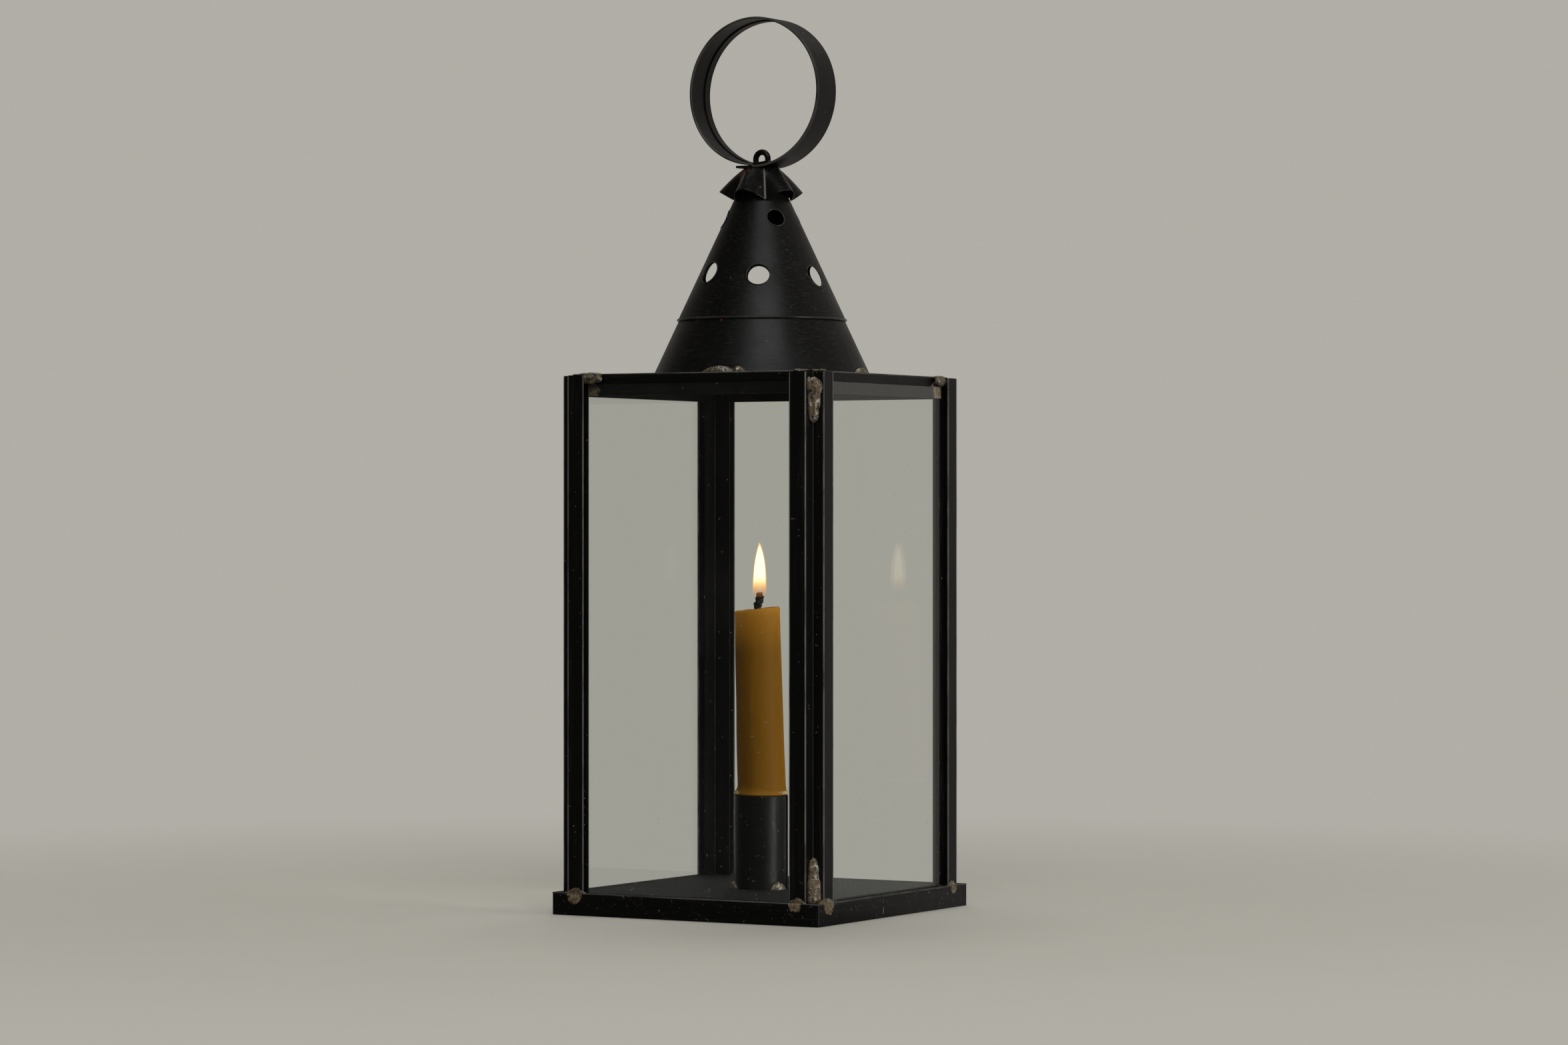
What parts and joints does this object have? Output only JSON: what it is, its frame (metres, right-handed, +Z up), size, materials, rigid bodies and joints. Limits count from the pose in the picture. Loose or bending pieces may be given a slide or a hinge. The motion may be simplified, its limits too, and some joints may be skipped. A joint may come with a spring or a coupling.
{
  "type": "candle lantern",
  "caption": "Square black tin candle lantern with glass panes in folded corner channels, a vented cone roof, a fluted cap and a strap ring handle; the rear pane slides up.",
  "frame": {"origin": "middle of the base's underside", "axes": "+Z up, front towards -Y, right side towards +X"},
  "size_m": [0.1524, 0.1524, 0.448],
  "materials": {
    "black_tin": "satin black paint on tinned sheet, fine scratches, dust and a little rust at worn edges",
    "pane_glass": "clear window glass, faintly green, with dust and smudges",
    "solder": "dull grey soft solder with a brown crust of flux",
    "beeswax": "amber beeswax, translucent near the flame",
    "cotton_wick": "braided cotton, charred black at its tip"
  },
  "bodies": {
    "lantern": {"base_tray": "black_tin", "front_left_channel": "black_tin", "front_right_channel": "black_tin", "right_front_channel": "black_tin", "right_rear_channel": "black_tin", "rear_right_channel": "black_tin", "rear_left_channel": "black_tin", "left_rear_channel": "black_tin", "left_front_channel": "black_tin", "top_plate": "black_tin", "roof_band": "black_tin", "roof_cone": "black_tin", "vent_cap": "black_tin", "ring_handle": "black_tin", "handle_staple": "black_tin", "candle_socket": "black_tin", "corner_seams": "black_tin", "front_pane": "pane_glass", "right_pane": "pane_glass", "left_pane": "pane_glass", "base_corner_solder": "solder", "top_corner_solder": "solder", "pane_stop_solder": "solder", "roof_solder": "solder", "socket_solder": "solder"},
    "rear_pane": {"rear_pane": "pane_glass"},
    "candle": {"candle": "beeswax", "wick": "cotton_wick"}
  },
  "joints": [
    {"name": "rear_pane_lift", "type": "slide", "parent": "lantern", "child": "rear_pane", "axis": [0, 0, 1], "range_m": [0, 0.262]},
    {"name": "candle_lift", "type": "slide", "parent": "lantern", "child": "candle", "axis": [0, 0, 1], "range_m": [0, 0.048]}
  ]
}
